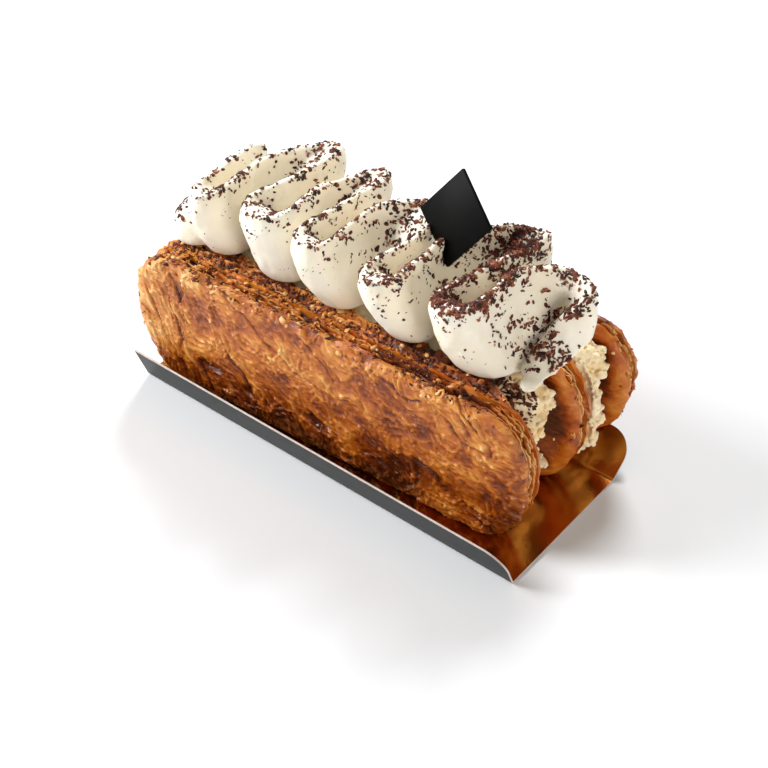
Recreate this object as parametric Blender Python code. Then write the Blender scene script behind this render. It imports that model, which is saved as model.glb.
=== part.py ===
"""Vanilla mille-feuille: three slabs of caramelised puff pastry stood on edge, two vanilla fillings between
them, one piped ribbon of cream folded to and fro on top with dark chocolate shavings and a small plaque, all
on its own folded card. Metres, +Z up. The origin is in the middle of the card's underside, +X runs along the
pastry to its open cut end, and +Y runs across it to the back.
"""
import math
import random

import bmesh
import bpy
from mathutils import Matrix, Vector, noise

GAP = 0.0003  # between pieces that touch

# The card: a gold-lined base with two long flaps
CARD_LENGTH = 0.140
CARD_WIDTH = 0.0514
CARD_THICKNESS = 0.0006
FLAP_HEIGHT = 0.0146
FLAP_CORNER = 0.008
FRONT_LEAN = math.radians(20.5)
BACK_LEAN = math.radians(50.0)

# The pastry stands a little turned on the card: s runs along it, t across it from its front face
PASTRY_TURN = math.radians(3.0)
PASTRY_START = (-0.0044, -0.0207)  # the middle of the front face's foot
PASTRY_TOP = 0.049
PASTRY_FOOT = CARD_THICKNESS + GAP
PASTRY_MIDDLE = 0.025  # height of the line that the rounded ends turn about

# Slabs: (front face, back face, left end, right end), as t, t, s and s
SLABS = {
    "pastry_front": (0.0, 0.0110, -0.0704, 0.0704),
    "pastry_middle": (0.0283, 0.0385, -0.0700, 0.0700),
    "pastry_back": (0.0488, 0.0570, -0.0690, 0.0742),
}
FILLINGS = {
    "filling_front": ("pastry_front", "pastry_middle", -0.0655, 0.0660),
    "filling_back": ("pastry_middle", "pastry_back", -0.0660, 0.0685),
}
SHEET = 0.0011  # one flaky sheet at the slab's edge, with its groove
SHEET_GROOVE = 0.0007
SPLIT_GROOVE = 0.0015  # the deeper grooves between groups of sheets
SHEET_EDGE = 0.0002  # how unevenly the sheets' edges line up
CRUST_EDGE = 0.0010  # the crust stops this far inside the sheets' edges
CRUST_RELIEF = 0.0005
CRUMB_BASE = 0.0012  # the fillings' crumbly ends: their mean depth, their uneven depth, a crumb's width
CRUMB_DEPTH = 0.0022
CRUMB_WIDTH = 0.0045
HOLLOW_RIGHT = 0.0080  # how far the fillings' ends cave in
HOLLOW_LEFT = 0.0030
HOLLOW_REACH = 0.0160  # half height of that cave
FILLING_SINK = 0.0004

# Rounded ends: (half length along s, height) of each quarter ellipse
LOW_RIGHT = (0.0160, 0.0250)
HIGH_RIGHT = (0.0144, 0.0190)
LOW_LEFT = (0.0190, 0.0270)
HIGH_LEFT = (0.0150, 0.0180)

# The ribbon of cream: its rim swings wide to the front and back, its foot less, so that each fold is a bowl
RIBBON_FOOT = PASTRY_TOP + GAP
RIBBON_RIM = 0.0765
RIBBON_FOOT_HALF = 0.0030
RIBBON_RIM_HALF = 0.0019
FOOT_FRONT = 0.0150
FOOT_BACK = 0.0330
FOLD_DEPTH = 0.0062  # how far a fold's round front reaches along t
RUN_BACK = ((0.0010, 0.022), (0.0018, 0.031))  # each run back: how far right of its fold, at which t
RUN_FORWARD = 0.026  # t of the knot on each run forward
CORNER_BEFORE = 0.0012  # the back corners' two knots, this far before and after the corner itself
CORNER_AFTER = 0.0022
# One row for each fold, in millimetres: rim left, rim right, rim front, t halfway to the back corner,
# the corner's s and t, the next run's s, foot left, foot right
FOLDS = (
    (-50.0, -43.0, 5.0, 41.0, -27.5, 48.0, -30.0, -52.0, -41.5),
    (-34.0, -21.5, 8.0, 38.5, -9.0, 46.0, -10.5, -32.0, -19.5),
    (-13.5, -4.0, 5.0, 38.5, 12.5, 43.0, 15.0, -11.5, 1.0),
    (11.0, 20.5, 3.5, 44.5, 43.5, 49.5, 38.0, 13.5, 25.5),
    (33.5, 44.5, 5.5, None, None, None, None, 34.5, 52.0),
)
# The first wall's free end and the tail, in millimetres: rim s, t and z, foot s, t and z
START = (
    (-46.5, 38.5, 74.0, -45.0, 30.0, 49.3),
    (-48.0, 34.0, 76.5, -47.0, 28.0, 49.3),
    (-49.0, 24.0, 76.0, -50.0, 22.0, 49.3),
)
TAIL = (
    (54.7, 38.5, 76.5, 57.0, 29.0, 49.3),
    (61.0, 39.8, 76.5, 61.0, 34.0, 53.0),
    (66.0, 38.0, 75.8, 64.5, 37.6, 57.0),
    (67.2, 35.2, 73.5, 65.6, 37.2, 57.0),
    (63.2, 33.0, 69.5, 65.0, 35.0, 55.6),
    (59.6, 31.0, 65.0, 64.2, 31.4, 53.6),
    (57.6, 27.8, 60.0, 63.0, 27.0, 52.0),
    (57.2, 22.8, 56.0, 61.8, 22.5, 50.6),
    (57.6, 19.0, 52.6, 60.8, 18.5, 49.6),
)
# Where the ribbon turns round, cream fills the fold between its two walls
BACK_WEB = 13  # samples of the rim on each side of a back corner, 2 mm apart
FRONT_WEB = 8
TAIL_WEB = 3
WEB_TOP = 0.995
BACK_SLOPE = 1.9  # the fill falls away from the turn by this power of the distance
FRONT_SLOPE = 2.6
FIRST_DAB = ((-0.0570, 0.0175, 0.0520), (0.0075, 0.0085, 0.0100))  # middle, radii
LAST_DAB = ((0.0600, 0.0172, 0.0494), (0.0030, 0.0030, 0.0024))
RIBBON_MELT = 0.0008  # the cream's edges run together over about this much
RIBBON_FACES = 3400

# Shavings of dark chocolate that lie on the cream
SHAVING_COUNT = 70
SHAVING = (0.00090, 0.00060, 0.00040)  # half length, half width, half thickness
SHAVING_SPACING = 0.0035

# The plaque: a square stood on one corner, facing the front and leaning back
PLAQUE_SIDE = 0.0200
PLAQUE_THICKNESS = 0.0012
PLAQUE_FOOT = (0.0258, 0.0274, 0.0694)  # s, t and z of its lowest corner
PLAQUE_TURN = math.radians(18.6)
PLAQUE_LEAN = math.radians(26.4)
PLAQUE_TILT = math.radians(18.7)


def clear_scene():
    for old in list(bpy.data.objects):
        bpy.data.objects.remove(old, do_unlink=True)


def place(s, t, z):
    """World point of a point given along, across and above."""
    c, n = math.cos(PASTRY_TURN), math.sin(PASTRY_TURN)
    return Vector((PASTRY_START[0] + s * c - t * n, PASTRY_START[1] + s * n + t * c, z))


def ripple(s, t, z, size, seed):
    """Smooth noise between about -1 and 1 whose bumps are as wide as size."""
    return noise.noise(Vector((s / size + seed, t / size - seed, z / size + 2 * seed)))


def foot_height(s, t):
    """Lowest height of the pastry above the card: on the base, on the leaning back flap or past its rim."""
    y = place(s, t, 0).y
    rise = 1 / math.tan(BACK_LEAN)
    on_flap = CARD_THICKNESS * math.sin(BACK_LEAN) + GAP * 1.6
    on_flap += (y - CARD_WIDTH / 2 + CARD_THICKNESS * math.cos(BACK_LEAN)) * rise
    past_rim = FLAP_HEIGHT * math.cos(BACK_LEAN) + CARD_THICKNESS + GAP
    return max(PASTRY_FOOT, min(on_flap, past_rim))


def finish(bm, name, color, roughness, metallic=0.0, smooth=True):
    """Object with its own material from a bmesh."""
    mesh = bpy.data.meshes.new(name)
    bm.to_mesh(mesh)
    bm.free()
    if smooth:
        mesh.shade_smooth()
        mesh.set_sharp_from_angle(angle=math.radians(40))
    material = bpy.data.materials.new(name)
    material.use_nodes = True
    shader = material.node_tree.nodes["Principled BSDF"]
    shader.inputs["Base Color"].default_value = (*color, 1)
    shader.inputs["Roughness"].default_value = roughness
    shader.inputs["Metallic"].default_value = metallic
    mesh.materials.append(material)
    piece = bpy.data.objects.new(name, mesh)
    bpy.context.scene.collection.objects.link(piece)
    return piece


def loft(rings):
    """Closed skin over rings that have the same number of points, with a face over each end ring."""
    bm = bmesh.new()
    rows = [[bm.verts.new(point) for point in ring] for ring in rings]
    for low, high in zip(rows, rows[1:]):
        for i, corner in enumerate(low):
            j = (i + 1) % len(low)
            bm.faces.new((corner, low[j], high[j], high[i]))
    ends = [bm.faces.new(rows[0]), bm.faces.new(rows[-1])]
    bmesh.ops.triangulate(bm, faces=ends)
    bmesh.ops.recalc_face_normals(bm, faces=bm.faces)
    return bm


def slab_outline(left, right, arc_steps=6, top_steps=13, foot_steps=7):
    """Rounded outline of a slab's broad face as (s, z, normal s, normal z), anticlockwise from its foot."""
    corners = (
        (right, PASTRY_FOOT, LOW_RIGHT, 1, -1, -90),
        (right, PASTRY_TOP, HIGH_RIGHT, 1, 1, 0),
        (left, PASTRY_TOP, HIGH_LEFT, -1, 1, 90),
        (left, PASTRY_FOOT, LOW_LEFT, -1, -1, 180),
    )
    points = []
    for s_end, z_end, (along, up), side, above, start in corners:
        s_mid, z_mid = s_end - side * along, z_end - above * up
        for step in range(arc_steps + 1):
            a = math.radians(start + 90 * step / arc_steps)
            normal = Vector((math.cos(a) * up, math.sin(a) * along)).normalized()
            points.append((s_mid + along * math.cos(a), z_mid + up * math.sin(a), normal.x, normal.y))
    return fill_between(points, arc_steps + 1, top_steps, foot_steps)


def fill_between(points, count, top_steps, foot_steps):
    """Adds even steps to the straight top and foot that join the rounded corners."""
    full = []
    for corner in range(4):
        run = points[corner * count:(corner + 1) * count]
        full += run
        steps = {1: top_steps, 3: foot_steps}.get(corner, 0)
        after = points[((corner + 1) * count) % len(points)]
        for step in range(1, steps):
            full.append(tuple(a + (b - a) * step / steps for a, b in zip(run[-1], after)))
    return full


def slab(name, seed, outward_front, outward_back):
    """A slab stood on edge: flaky sheets round its edge, a blistered crust on both broad faces."""
    t_front, t_back, left, right = SLABS[name]
    outline = slab_outline(left, right)
    axis_left, axis_right = left + PASTRY_MIDDLE, right - PASTRY_MIDDLE
    sheets = round((t_back - t_front) / SHEET / 2)

    def ring(t, inset, toward_axis=0.0, relief=0.0):
        points = []
        for s, z, ns, nz in outline:
            depth = inset * (1 + 0.5 * ripple(s, t, z, 0.006, seed))
            s_in, z_in = s - ns * depth, z - nz * depth
            axis = min(max(s_in, axis_left), axis_right)
            s_in += (axis - s_in) * toward_axis
            z_in += (PASTRY_MIDDLE - z_in) * toward_axis
            bump = relief * ripple(s_in, t, z_in * 0.6, 0.005, seed + 3)
            foot = foot_height(s_in, t)
            z_in = foot + (z_in - PASTRY_FOOT) * (PASTRY_TOP - foot) / (PASTRY_TOP - PASTRY_FOOT)
            points.append(place(s_in, t + bump, z_in))
        return points

    in_front = CRUST_RELIEF if outward_front else 0.0
    in_back = CRUST_RELIEF if outward_back else 0.0
    crust_front, crust_back = t_front + CRUST_RELIEF - in_front, t_back - CRUST_RELIEF + in_back
    rings = [ring(crust_front, CRUST_EDGE, inward, CRUST_RELIEF) for inward in (0.82, 0.6, 0.38, 0.16, 0.04)]
    first, last = crust_front + SHEET / 2, crust_back - SHEET / 2
    for row in range(2 * sheets + 1):
        t = first + (last - first) * row / (2 * sheets)
        groove = SPLIT_GROOVE if row % 6 == 3 else SHEET_GROOVE
        rings.append(ring(t, groove if row % 2 else SHEET_EDGE))
    rings += [ring(crust_back, CRUST_EDGE, inward, CRUST_RELIEF) for inward in (0.04, 0.3, 0.7)]
    return finish(loft(rings), name, (0.52, 0.22, 0.06), 0.45)


def filling(name, seed):
    """Vanilla cream between two slabs, short of their ends and crumbly there."""
    before, behind, left, right = FILLINGS[name]
    t_front, t_back = SLABS[before][1] + GAP, SLABS[behind][0] - GAP
    outline = slab_outline(left, right, arc_steps=7, top_steps=5, foot_steps=4)
    rings = []
    steps = 6
    for step in range(steps + 1):
        across = step / steps
        t = t_front + (t_back - t_front) * across
        points = []
        for s, z, ns, nz in outline:
            at_end = abs(ns) ** 0.7
            middle = max(0.0, 1 - abs(z - PASTRY_MIDDLE) / HOLLOW_REACH)
            hollow = HOLLOW_RIGHT * max(0.0, across - 0.25) * middle if s > 0 else HOLLOW_LEFT * middle
            crumb = at_end * (CRUMB_BASE + CRUMB_DEPTH * ripple(s, t, z, CRUMB_WIDTH, seed))
            s_in = s - ns * crumb - math.copysign(hollow * at_end, s)
            z_in = z - nz * (crumb + FILLING_SINK)
            foot = foot_height(s_in, t)
            z_in = foot + (z_in - PASTRY_FOOT) * (PASTRY_TOP - foot) / (PASTRY_TOP - PASTRY_FOOT)
            points.append(place(s_in, t, z_in))
        rings.append(points)
    return finish(loft(rings), name, (0.86, 0.76, 0.56), 0.6)


def ribbon_knots():
    """Knots of the ribbon's rim and foot, each as (rim s, t, z, foot s, t, z) in metres."""
    def foot_t(t):
        swing = (t - FOLDS[0][2] / 1000) / (FOLDS[0][5] / 1000 - FOLDS[0][2] / 1000)
        return FOOT_FRONT + (FOOT_BACK - FOOT_FRONT) * min(max(swing, 0), 1)

    knots = [tuple(value / 1000 for value in row) for row in START]
    for number, row in enumerate(FOLDS):
        left, right, front, turn_t, corner_s, corner_t, run_s, foot_left, foot_right = (
            value and value / 1000 for value in row
        )
        for step in range(5):
            a = math.radians(180 + 45 * step)
            swing = math.cos(a) / 2 + 0.5
            depth = FOLD_DEPTH * (1 + math.sin(a))
            s, foot_s = left + (right - left) * swing, foot_left + (foot_right - foot_left) * swing
            knots.append((s, front + depth, RIBBON_RIM, foot_s, FOOT_FRONT + depth, RIBBON_FOOT))
        drift = foot_right - right
        back = [(right + further, t, drift) for further, t in RUN_BACK]
        if number + 1 < len(FOLDS):
            next_drift = (FOLDS[number + 1][7] - FOLDS[number + 1][0]) / 1000
            back += [
                ((right + corner_s) / 2, turn_t, drift / 2),
                (corner_s - CORNER_BEFORE, corner_t, drift / 5),
                (corner_s + CORNER_AFTER, corner_t - CORNER_AFTER, drift / 5 + CORNER_BEFORE),
                (run_s, RUN_FORWARD, next_drift),
            ]
        knots += [(s, t, RIBBON_RIM, s + shift, foot_t(t), RIBBON_FOOT) for s, t, shift in back]
    return knots + [tuple(value / 1000 for value in row) for row in TAIL]


def through(knots, step):
    """Even samples of the smooth curve through the knots, one for each step along the rim."""
    samples = []
    for i in range(len(knots) - 1):
        around = [knots[min(max(i + k, 0), len(knots) - 1)] for k in (-1, 0, 1, 2)]
        span = math.dist(around[1][:2], around[2][:2])
        count = max(1, round(span / step))
        for part in range(count):
            samples.append(catmull_rom(around, part / count))
    return samples + [knots[-1]]


def catmull_rom(around, u):
    """Point between the middle two of four knots."""
    a, b, c, d = around
    return tuple(
        0.5 * (2 * q + (r - p) * u + (2 * p - 5 * q + 4 * r - v) * u * u + (3 * q - p - 3 * r + v) * u ** 3)
        for p, q, r, v in zip(a, b, c, d)
    )


def ribbon_rings(samples, levels=5):
    """Cross-sections of the ribbon: up its outer side, over the rounded rim and down its inner side."""
    rings = []
    for i, here in enumerate(samples):
        before, after = samples[max(i - 1, 0)], samples[min(i + 1, len(samples) - 1)]
        outer, inner = [], []
        for level in range(levels + 1):
            up = level / levels
            lean = math.sin(up * math.pi / 2)
            point, back, on = (mid_point(sample, lean) for sample in (here, before, after))
            along = (on - back).normalized()
            half = RIBBON_FOOT_HALF + (RIBBON_RIM_HALF - RIBBON_FOOT_HALF) * up
            z = here[5] + (here[2] - here[5]) * up
            if level == levels:
                half *= 0.45
            side = Vector((along.y, -along.x)) * half
            outer.append(place(point.x + side.x, point.y + side.y, z))
            inner.append(place(point.x - side.x, point.y - side.y, z))
        rings.append(outer + inner[::-1])
    return rings


def mid_point(sample, lean):
    """Middle of the ribbon's wall, between its foot and its rim."""
    rim_s, rim_t, _, foot_s, foot_t, _ = sample
    return Vector((foot_s + (rim_s - foot_s) * lean, foot_t + (rim_t - foot_t) * lean))


def on_wall(sample, up):
    """World point in the middle of the wall at a share of its height."""
    point = mid_point(sample, math.sin(up * math.pi / 2))
    return place(point.x, point.y, sample[5] + (sample[2] - sample[5]) * up)


def turns(samples):
    """Where the rim turns round: the sample's number, how many on either side run together, the slope."""
    found = []
    for i in range(BACK_WEB, len(samples) - FRONT_WEB):
        here, around = samples[i][1], [sample[1] for sample in samples[i - FRONT_WEB:i + FRONT_WEB + 1]]
        in_tail = samples[i][0] > TAIL[0][0] / 1000
        if here == max(around):
            found.append((i, TAIL_WEB if in_tail else BACK_WEB, BACK_SLOPE))
        elif here == min(around):
            found.append((i, FRONT_WEB, FRONT_SLOPE))
    return found


def web(samples, turn, reach, slope):
    """Cream that fills a turn between its two walls, highest where they meet and lower away from there."""
    rings = []
    last = min(reach, len(samples) - turn - 2)
    for step in range(last + 1):
        before, after = samples[turn - step - 1], samples[turn + step + 1]
        up = WEB_TOP * (1 - (step / (last + 0.5)) ** slope)
        rings.append((on_wall(before, up), on_wall(after, up), on_wall(after, 0), on_wall(before, 0)))
    return loft(rings)


def dab(middle, radii):
    """A rounded dab of cream, flat on the pastry."""
    bm = bmesh.new()
    bmesh.ops.create_uvsphere(bm, u_segments=14, v_segments=8, radius=1)
    bmesh.ops.scale(bm, vec=radii, verts=bm.verts)
    bmesh.ops.translate(bm, vec=place(*middle), verts=bm.verts)
    for v in bm.verts:
        v.co.z = max(v.co.z, RIBBON_FOOT)
    return bm


def gather(parts):
    """One mesh of several closed shells that run into each other."""
    mesh = bpy.data.meshes.new("gathered")
    whole = bmesh.new()
    for bm in parts:
        bm.to_mesh(mesh)
        bm.free()
        whole.from_mesh(mesh)
    bpy.data.meshes.remove(mesh)
    return whole


def apply_modifiers(piece):
    """Keeps what the modifiers make of the piece as its own mesh."""
    depsgraph = bpy.context.evaluated_depsgraph_get()
    mesh = bpy.data.meshes.new_from_object(piece.evaluated_get(depsgraph))
    piece.modifiers.clear()
    piece.data = mesh


def shells(bm):
    """The separate shells of a mesh, each as a set of vertices, largest first."""
    left, found = set(bm.verts), []
    while left:
        shell, front = set(), [next(iter(left))]
        while front:
            v = front.pop()
            if v not in shell:
                shell.add(v)
                front += [e.other_vert(v) for e in v.link_edges]
        left -= shell
        found.append(shell)
    return sorted(found, key=len, reverse=True)


def clean(piece):
    """Drops sealed hollows and loose scraps, and sets the foot flat on the pastry."""
    bm = bmesh.new()
    bm.from_mesh(piece.data)
    for shell in shells(bm)[1:]:
        bmesh.ops.delete(bm, geom=list(shell), context="VERTS")
    for v in bm.verts:
        v.co.z = max(v.co.z, RIBBON_FOOT)
    bmesh.ops.triangulate(bm, faces=bm.faces)
    bmesh.ops.recalc_face_normals(bm, faces=bm.faces)
    bm.to_mesh(piece.data)
    bm.free()


def melt_together(piece):
    """Runs the ribbon's shells together into one smooth body of few faces."""
    melt = piece.modifiers.new("melt", "REMESH")
    melt.mode = "VOXEL"
    melt.voxel_size = RIBBON_MELT
    soften = piece.modifiers.new("soften", "SMOOTH")
    soften.iterations = 5
    apply_modifiers(piece)
    clean(piece)
    fewer = piece.modifiers.new("fewer", "DECIMATE")
    fewer.ratio = RIBBON_FACES / len(piece.data.polygons)
    apply_modifiers(piece)
    clean(piece)


def shavings(group, ribbon):
    """Flat splinters that lie spread over what faces up, half sunk in the cream."""
    draw = random.Random(7)
    spots = [f for f in ribbon.data.polygons if f.normal.z > 0.4 and f.center.z > PASTRY_TOP + 0.003]
    draw.shuffle(spots)
    taken = []
    for face in spots:
        if len(taken) == SHAVING_COUNT:
            break
        if any((face.center - other).length < SHAVING_SPACING for other in taken):
            continue
        taken.append(face.center.copy())
        bm = bmesh.new()
        bmesh.ops.create_icosphere(bm, subdivisions=1, radius=1)
        size = draw.uniform(0.75, 1.2)
        bmesh.ops.scale(bm, vec=[half * size for half in SHAVING], verts=bm.verts)
        flat = face.normal.to_track_quat("Z", "Y").to_matrix()
        turn = flat @ Matrix.Rotation(draw.uniform(0, math.pi), 3, "Z")
        bmesh.ops.rotate(bm, matrix=turn, cent=(0, 0, 0), verts=bm.verts)
        bmesh.ops.translate(bm, vec=face.center, verts=bm.verts)
        mesh = bpy.data.meshes.new("shaving")
        bm.to_mesh(mesh)
        bm.free()
        group.objects.link(bpy.data.objects.new("shaving", mesh))


def cream_ribbon():
    """One continuous ribbon with its first dab, its tail and the larger shavings joined on."""
    samples = through(ribbon_knots(), 0.0020)
    parts = [loft(ribbon_rings(samples))]
    parts += [web(samples, *turn) for turn in turns(samples)]
    parts += [dab(*FIRST_DAB), dab(*LAST_DAB)]
    piece = finish(gather(parts), "cream_ribbon", (0.90, 0.84, 0.72), 0.55)
    melt_together(piece)
    group = bpy.data.collections.new("on_the_ribbon")
    bpy.context.scene.collection.children.link(group)
    shavings(group, piece)
    union = piece.modifiers.new("joined", "BOOLEAN")
    union.operation = "UNION"
    union.operand_type = "COLLECTION"
    union.collection = group
    apply_modifiers(piece)
    for extra in list(group.objects):
        bpy.data.objects.remove(extra, do_unlink=True)
    bpy.data.collections.remove(group)
    piece.data.shade_smooth()
    piece.data.set_sharp_from_angle(angle=math.radians(50))
    return piece


def plaque_frame():
    """Turns the plaque's own axes (right, facing, up) into the world, lowest corner at the origin."""
    c, n = math.cos(PLAQUE_TURN - PASTRY_TURN), math.sin(PLAQUE_TURN - PASTRY_TURN)
    right = Vector((c, -n, 0))
    facing = Vector((-n * math.cos(PLAQUE_LEAN), -c * math.cos(PLAQUE_LEAN), math.sin(PLAQUE_LEAN)))
    up = right.cross(-facing)
    turn = Matrix((right, -facing, up)).transposed() @ Matrix.Rotation(-PLAQUE_TILT, 3, "Y")
    return Matrix.Translation(place(*PLAQUE_FOOT)) @ turn.to_4x4()


def plaque(name, grow=0.0):
    """The square of dark chocolate, or with some growth the slot it stands in."""
    bm = bmesh.new()
    bmesh.ops.create_cube(bm, size=1)
    size = (PLAQUE_SIDE + 2 * grow, PLAQUE_THICKNESS + 2 * grow, PLAQUE_SIDE + 2 * grow)
    bmesh.ops.scale(bm, vec=size, verts=bm.verts)
    bmesh.ops.rotate(bm, matrix=Matrix.Rotation(math.radians(45), 3, "Y"), cent=(0, 0, 0), verts=bm.verts)
    bmesh.ops.translate(bm, vec=(0, 0, PLAQUE_SIDE / math.sqrt(2)), verts=bm.verts)
    bmesh.ops.transform(bm, matrix=plaque_frame(), verts=bm.verts)
    return finish(bm, name, (0.012, 0.012, 0.013), 0.35, smooth=False)


def stand_plaque(ribbon):
    """Stands the plaque in a slot of its own in the ribbon."""
    plaque("plaque")
    slot = plaque("plaque_slot", GAP)
    slot.hide_render = True
    slot.display_type = "WIRE"
    cut = ribbon.modifiers.new("slot", "BOOLEAN")
    cut.operation = "DIFFERENCE"
    cut.object = slot


def card_tray():
    """A flat card folded up along both long sides, its right-hand flap corners cut round."""
    bm = bmesh.new()
    bmesh.ops.create_grid(bm, x_segments=1, y_segments=1, size=0.5)
    bmesh.ops.scale(bm, vec=(CARD_LENGTH, CARD_WIDTH, 1), verts=bm.verts)
    for side, lean in ((-1, FRONT_LEAN), (1, BACK_LEAN)):
        fold = [e for e in bm.edges if all(abs(v.co.y - side * CARD_WIDTH / 2) < GAP for v in e.verts)]
        grown = bmesh.ops.extrude_edge_only(bm, edges=fold)["geom"]
        rim = [v for v in grown if isinstance(v, bmesh.types.BMVert)]
        rise = Vector((0, side * math.sin(lean), math.cos(lean))) * FLAP_HEIGHT
        bmesh.ops.translate(bm, vec=rise, verts=rim)
        corner = [v for v in rim if v.co.x > 0]
        bmesh.ops.bevel(bm, geom=corner, offset=FLAP_CORNER, segments=6, profile=0.5, affect="VERTICES")
    bmesh.ops.recalc_face_normals(bm, faces=bm.faces)
    if sum(f.normal.z * f.calc_area() for f in bm.faces) < 0:
        bmesh.ops.reverse_faces(bm, faces=bm.faces)
    piece = finish(bm, "card_tray", (0.50, 0.26, 0.08), 0.25, metallic=0.9, smooth=False)
    wall = piece.modifiers.new("card", "SOLIDIFY")
    wall.thickness = CARD_THICKNESS
    wall.offset = 1
    wall.use_even_offset = True
    return piece


def build():
    clear_scene()
    card_tray()
    slab("pastry_front", 1.7, True, False)
    slab("pastry_middle", 4.1, False, False)
    slab("pastry_back", 8.3, False, True)
    filling("filling_front", 2.9)
    filling("filling_back", 6.2)
    stand_plaque(cream_ribbon())


build()
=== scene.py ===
import math
import random

import bmesh
import bpy
from mathutils import Matrix, Vector, noise


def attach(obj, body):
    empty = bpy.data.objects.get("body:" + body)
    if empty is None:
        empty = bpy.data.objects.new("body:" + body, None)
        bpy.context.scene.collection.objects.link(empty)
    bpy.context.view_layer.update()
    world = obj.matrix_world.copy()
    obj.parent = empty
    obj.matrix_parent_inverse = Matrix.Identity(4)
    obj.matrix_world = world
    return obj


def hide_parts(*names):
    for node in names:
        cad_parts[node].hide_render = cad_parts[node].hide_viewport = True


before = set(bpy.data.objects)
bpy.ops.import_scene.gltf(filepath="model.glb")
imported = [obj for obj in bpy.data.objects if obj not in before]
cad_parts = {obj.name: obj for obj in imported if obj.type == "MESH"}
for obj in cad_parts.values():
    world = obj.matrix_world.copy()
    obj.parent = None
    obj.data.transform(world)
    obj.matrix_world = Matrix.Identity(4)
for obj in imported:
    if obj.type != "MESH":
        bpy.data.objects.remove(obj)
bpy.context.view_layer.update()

# the pastry stands a little turned on its card: s runs along it, t across it from its front face
pastry = {"turn": 3.0, "startX": -0.0044, "startY": -0.0207, "foot": 0.0009, "top": 0.0490}
card = {
    "length": 0.140, "width": 0.0514, "thickness": 0.0006, "flap": 0.0146, "corner": 0.008,
    "frontLean": 20.5, "backLean": 50.0, "foldRadius": 0.0009, "gapOnFlap": 0.0005, "gapOnRim": 0.0003,
}


def place(s, t, z):
    c, n = math.cos(math.radians(pastry["turn"])), math.sin(math.radians(pastry["turn"]))
    return Vector((pastry["startX"] + s * c - t * n, pastry["startY"] + s * n + t * c, z))


def unplace(point):
    c, n = math.cos(math.radians(pastry["turn"])), math.sin(math.radians(pastry["turn"]))
    x, y = point.x - pastry["startX"], point.y - pastry["startY"]
    return x * c + y * n, y * c - x * n, point.z


def bumps(s, t, z, size, seed=0.0):
    return noise.noise(Vector((s / size + seed, t / size - seed, z / size + 2 * seed)))


def ease(value, low, high):
    u = min(max((value - low) / (high - low), 0.0), 1.0)
    return u * u * (3 - 2 * u)


def rgb(r, g, b):
    # a colour as a screen shows it, made linear
    shares = (v / 255 for v in (r, g, b))
    return tuple(v / 12.92 if v < 0.04045 else ((v + 0.055) / 1.055) ** 2.4 for v in shares) + (1,)


# materials

def addNode(tree, kind, spot, values=None, **options):
    made = tree.nodes.new("ShaderNode" + kind)
    made.location = spot
    for name, value in options.items():
        setattr(made, name, value)
    for name, value in (values or {}).items():
        made.inputs[name].default_value = value
    return made


def setRamp(made, stops):
    ramp = made.color_ramp
    while len(ramp.elements) > 1:
        ramp.elements.remove(ramp.elements[-1])
    ramp.elements[0].position, ramp.elements[0].color = stops[0]
    for position, color in stops[1:]:
        ramp.elements.new(position).color = color


def newMaterial(name, **values):
    material = bpy.data.materials.new(name)
    material.use_nodes = True
    tree = material.node_tree
    shader = tree.nodes["Principled BSDF"]
    for key, value in values.items():
        shader.inputs[key].default_value = value
    return material, tree, shader


def newGroup(name, inputs, outputs):
    tree = bpy.data.node_groups.new(name, "ShaderNodeTree")
    for socket, value in inputs.items():
        made = tree.interface.new_socket(socket, in_out="INPUT", socket_type="NodeSocketFloat")
        made.default_value = value
    for socket in outputs:
        tree.interface.new_socket(socket, in_out="OUTPUT", socket_type="NodeSocketFloat")
    return tree, tree.nodes.new("NodeGroupInput"), tree.nodes.new("NodeGroupOutput")


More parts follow.
